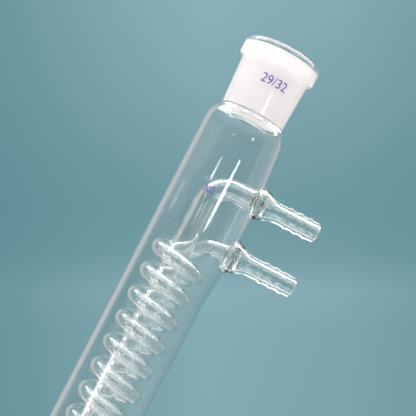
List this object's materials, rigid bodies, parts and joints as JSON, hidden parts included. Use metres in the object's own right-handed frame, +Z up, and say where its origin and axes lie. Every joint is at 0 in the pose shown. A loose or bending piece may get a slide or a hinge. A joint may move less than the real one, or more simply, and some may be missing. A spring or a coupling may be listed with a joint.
{
  "type": "coil condenser",
  "caption": "One-piece glass coil condenser with a ground socket on top, a ground cone with a drip tip below and ridged hose barbs on one side.",
  "frame": {"origin": "centre of the lower ground cone at its wide end", "axes": "+Z up along the jacket towards the socket, +X out along the hose barbs"},
  "size_m": [0.0703, 0.038, 0.396],
  "materials": {
    "clear_glass": "clear, fire-polished, with frosted ground joints"
  },
  "bodies": {
    "root": {"condenser": "clear_glass"}
  },
  "joints": []
}
